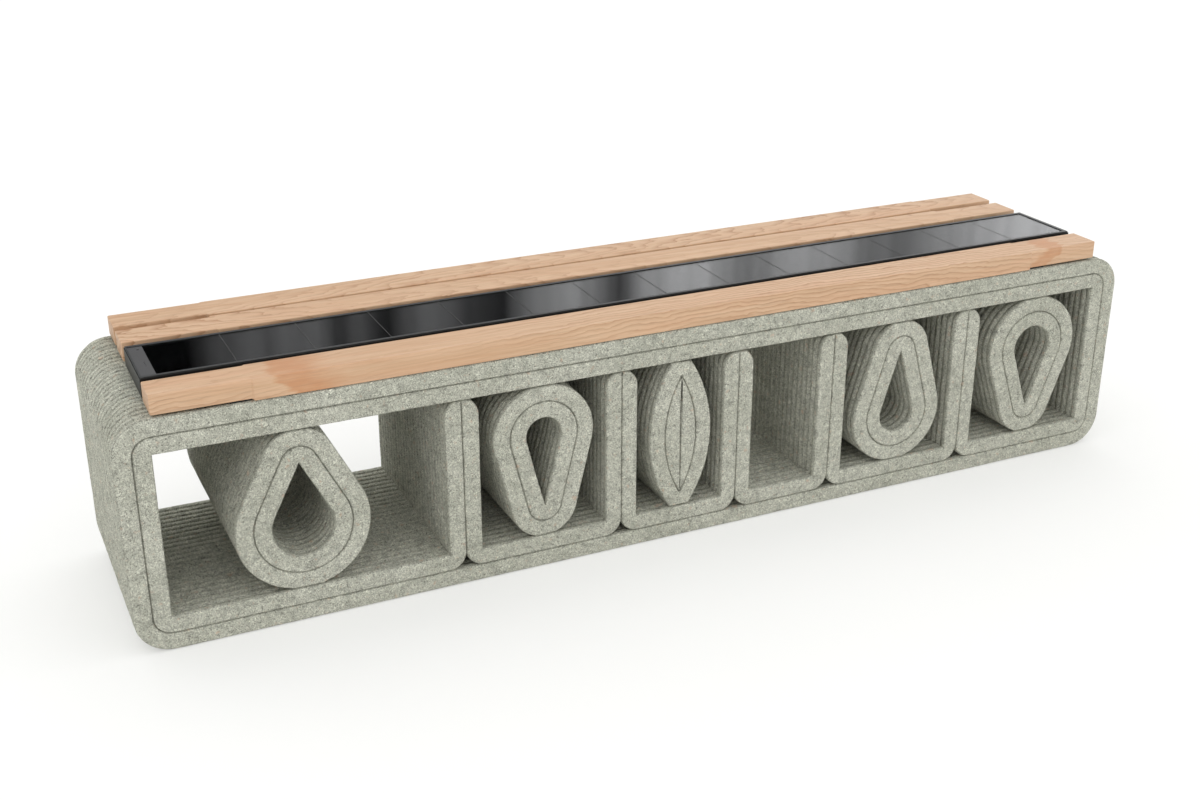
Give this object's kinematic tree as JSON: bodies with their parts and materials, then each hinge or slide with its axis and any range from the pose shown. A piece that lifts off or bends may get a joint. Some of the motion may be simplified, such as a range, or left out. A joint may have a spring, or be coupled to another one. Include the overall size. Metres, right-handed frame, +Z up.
{
  "type": "solar charging bench",
  "caption": "Street bench: ring of printed concrete with open bays and drop ornaments, wooden slats on top, and a flush solar panel with a wireless phone charger between them.",
  "frame": {"origin": "on the ground, below the middle of the bench", "axes": "+X along the bench to the right as seen from the front, -Y to the front, +Z up"},
  "size_m": [1.99, 0.4, 0.45],
  "materials": {
    "concrete": "rough, pale grey-green, fine grain",
    "wood": "oiled, long grain",
    "zinc_steel": "zinc plated",
    "black_steel": "black powder coat",
    "dark_glass": "polished, dark",
    "silicon": "dark, smooth",
    "black_plastic": "matte",
    "gasket_rubber": "matte",
    "grey_plate": "satin",
    "clear_plastic": "smoked",
    "circuit_board": "green solder mask",
    "copper": "enamelled wire",
    "ferrite": "matte",
    "cell_sleeve": "blue shrink sleeve",
    "lead_sheath": "matte"
  },
  "bodies": {
    "root": {"outer_bead": "concrete", "top_bead": "concrete", "bay_bead_1": "concrete", "bay_bead_2": "concrete", "bay_bead_3": "concrete", "bay_bead_4": "concrete", "bay_bead_5": "concrete", "bay_bead_6": "concrete", "drop_outer_bead_1": "concrete", "drop_outer_bead_2": "concrete", "drop_outer_bead_3": "concrete", "drop_outer_bead_4": "concrete", "drop_inner_bead_1": "concrete", "drop_inner_bead_2": "concrete", "drop_inner_bead_3": "concrete", "drop_inner_bead_4": "concrete", "leaf_outer_bead": "concrete", "leaf_left_bead": "concrete", "leaf_right_bead": "concrete", "slat_front": "wood", "slat_middle": "wood", "slat_rear": "wood", "cross_bars": "black_steel", "slat_screws": "zinc_steel", "anchor_sleeves": "zinc_steel", "anchor_washers": "black_steel", "anchor_screws": "black_steel", "tray": "black_steel", "bezel": "black_steel", "bezel_screws": "black_steel", "front_glass": "dark_glass", "solar_cells": "silicon", "cell_filler": "black_plastic", "back_sheet": "black_plastic", "panel_rails": "zinc_steel", "panel_gaskets": "gasket_rubber", "service_plate": "grey_plate", "light_pipes": "clear_plastic", "charger_board": "circuit_board", "board_spacers": "zinc_steel", "board_screws": "zinc_steel", "charging_coil": "copper", "ferrite_plate": "ferrite", "coil_bracket": "zinc_steel", "battery_case": "black_plastic", "battery_cells": "cell_sleeve", "battery_lid": "black_plastic", "battery_straps": "zinc_steel", "strap_screws": "zinc_steel", "charge_controller": "black_plastic", "controller_screws": "zinc_steel", "junction_box": "black_plastic", "solar_lead": "lead_sheath", "battery_lead": "lead_sheath", "charger_lead": "lead_sheath", "lead_clips": "black_plastic", "tray_screws": "zinc_steel", "tray_nuts": "zinc_steel"}
  },
  "joints": []
}
